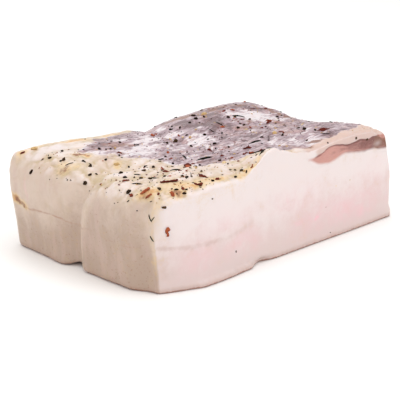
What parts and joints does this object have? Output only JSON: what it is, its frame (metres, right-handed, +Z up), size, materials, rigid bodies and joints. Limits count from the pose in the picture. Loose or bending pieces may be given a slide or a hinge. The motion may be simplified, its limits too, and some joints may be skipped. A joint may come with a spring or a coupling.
{
  "type": "lardo slab",
  "caption": "Slab of cured pork back fat with a layer of lean through its top, rubbed with pepper, chilli and herbs, cut clean along one long side and flat underneath.",
  "frame": {"origin": "middle of the bounding box's bottom face, on the surface that the slab rests on", "axes": "+Z up, X along the slab's length, -Y out of the clean cut face"},
  "size_m": [0.2082, 0.1322, 0.0687],
  "materials": {
    "fat": "cured pork fat: cream outside, white to pale pink at the cut, slightly waxy",
    "lean": "cured lean pork: dull mauve with pale streaks, browner at the cut, slightly moist",
    "spice": "dry rub of cracked pepper, chilli flakes, herb needles and crumbs, matt"
  },
  "bodies": {
    "root": {"fat_slab": "fat", "lean_layer": "lean"}
  },
  "joints": []
}
